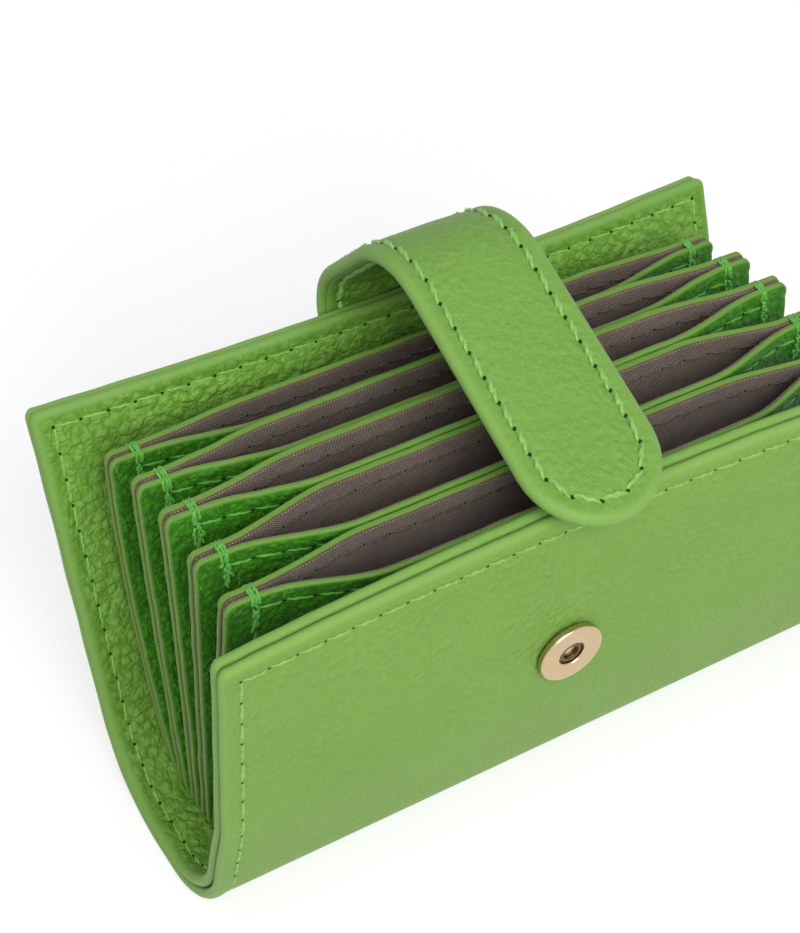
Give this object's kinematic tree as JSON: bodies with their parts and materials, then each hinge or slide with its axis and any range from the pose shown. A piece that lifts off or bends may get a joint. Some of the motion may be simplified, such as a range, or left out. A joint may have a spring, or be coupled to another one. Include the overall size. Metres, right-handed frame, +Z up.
{
  "type": "accordion card holder",
  "caption": "Leather accordion card holder: a folding cover with a fan of cloth-lined card pockets, closed by an arched strap with a snap.",
  "frame": {"origin": "middle of the flat underside of the bottom fold, on which the open holder stands", "axes": "+X along the width, +Y from the front panel to the back panel, +Z up"},
  "size_m": [0.114, 0.0631, 0.0788],
  "materials": {
    "green_leather": "pebbled, semi-matt",
    "lining_leather": "pebbled, matt",
    "strap_leather": "pebbled, semi-matt",
    "taupe_cloth": "fine woven",
    "gilt_metal": "satin gilt",
    "plain_metal": "plain",
    "grey_board": "stiffener board"
  },
  "bodies": {
    "back": {"cover_back": "green_leather", "cover_fold": "green_leather", "lining_back": "lining_leather", "lining_fold": "lining_leather", "board_back": "grey_board", "strap_root": "strap_leather", "strap_lining_root": "lining_leather"},
    "front": {"cover_front": "green_leather", "lining_front": "lining_leather", "board_front": "grey_board", "snap_socket": "gilt_metal", "snap_spring": "plain_metal", "socket_rivet": "plain_metal"},
    "pocket_1": {"pocket_1_back": "green_leather", "pocket_1_front": "green_leather", "pocket_1_lining": "taupe_cloth"},
    "pocket_2": {"pocket_2_back": "green_leather", "pocket_2_front": "green_leather", "pocket_2_lining": "taupe_cloth"},
    "pocket_3": {"pocket_3_back": "green_leather", "pocket_3_front": "green_leather", "pocket_3_lining": "taupe_cloth"},
    "pocket_4": {"pocket_4_back": "green_leather", "pocket_4_front": "green_leather", "pocket_4_lining": "taupe_cloth"},
    "pocket_5": {"pocket_5_back": "green_leather", "pocket_5_front": "green_leather", "pocket_5_lining": "taupe_cloth"},
    "strap_arch": {"strap_arch": "strap_leather", "strap_lining_arch": "lining_leather"},
    "strap_tip": {"strap_tip": "strap_leather", "strap_lining_tip": "lining_leather", "snap_stud": "gilt_metal", "stud_cap": "plain_metal"}
  },
  "joints": [
    {"name": "front_fold", "type": "hinge", "parent": "back", "child": "front", "pos_m": [0, 0, 0.0017], "axis": [1, 0, 0], "range_deg": [-28, 10], "deforming": ["cover_fold", "lining_fold"]},
    {"name": "pocket_1_fan", "type": "hinge", "parent": "back", "child": "pocket_1", "pos_m": [0, 0.0067, 0.0049], "axis": [1, 0, 0], "range_deg": [-8.3, 3.6], "deforming": ["pocket_1_back", "pocket_1_front", "pocket_1_lining"]},
    {"name": "pocket_2_fan", "type": "hinge", "parent": "back", "child": "pocket_2", "pos_m": [0, 0.0035, 0.0037], "axis": [1, 0, 0], "range_deg": [-13, 5.3], "deforming": ["pocket_2_back", "pocket_2_front", "pocket_2_lining"]},
    {"name": "pocket_3_fan", "type": "hinge", "parent": "back", "child": "pocket_3", "pos_m": [0, 0.0003, 0.0037], "axis": [1, 0, 0], "range_deg": [-17.2, 6.8], "deforming": ["pocket_3_back", "pocket_3_front", "pocket_3_lining"]},
    {"name": "pocket_4_fan", "type": "hinge", "parent": "back", "child": "pocket_4", "pos_m": [0, -0.0029, 0.0037], "axis": [1, 0, 0], "range_deg": [-21.4, 8.3], "deforming": ["pocket_4_back", "pocket_4_front", "pocket_4_lining"]},
    {"name": "pocket_5_fan", "type": "hinge", "parent": "back", "child": "pocket_5", "pos_m": [0, -0.0061, 0.0046], "axis": [1, 0, 0], "range_deg": [-24.8, 9.5], "deforming": ["pocket_5_back", "pocket_5_front", "pocket_5_lining"]},
    {"name": "strap_lift", "type": "hinge", "parent": "back", "child": "strap_arch", "pos_m": [0, 0.03641, 0.05461], "axis": [1, 0, 0], "range_deg": [-110, 19.5], "deforming": ["strap_arch", "strap_lining_arch"]},
    {"name": "strap_bend", "type": "hinge", "parent": "strap_arch", "child": "strap_tip", "pos_m": [0, 0.01221, 0.07696], "axis": [1, 0, 0], "range_deg": [-15, 24.5], "deforming": ["strap_tip", "strap_lining_tip"]}
  ],
  "couplings": [
    {"joint": "pocket_1_fan", "follows": "front_fold", "ratio": 0.26},
    {"joint": "pocket_2_fan", "follows": "front_fold", "ratio": 0.43},
    {"joint": "pocket_3_fan", "follows": "front_fold", "ratio": 0.58},
    {"joint": "pocket_4_fan", "follows": "front_fold", "ratio": 0.73},
    {"joint": "pocket_5_fan", "follows": "front_fold", "ratio": 0.85}
  ]
}
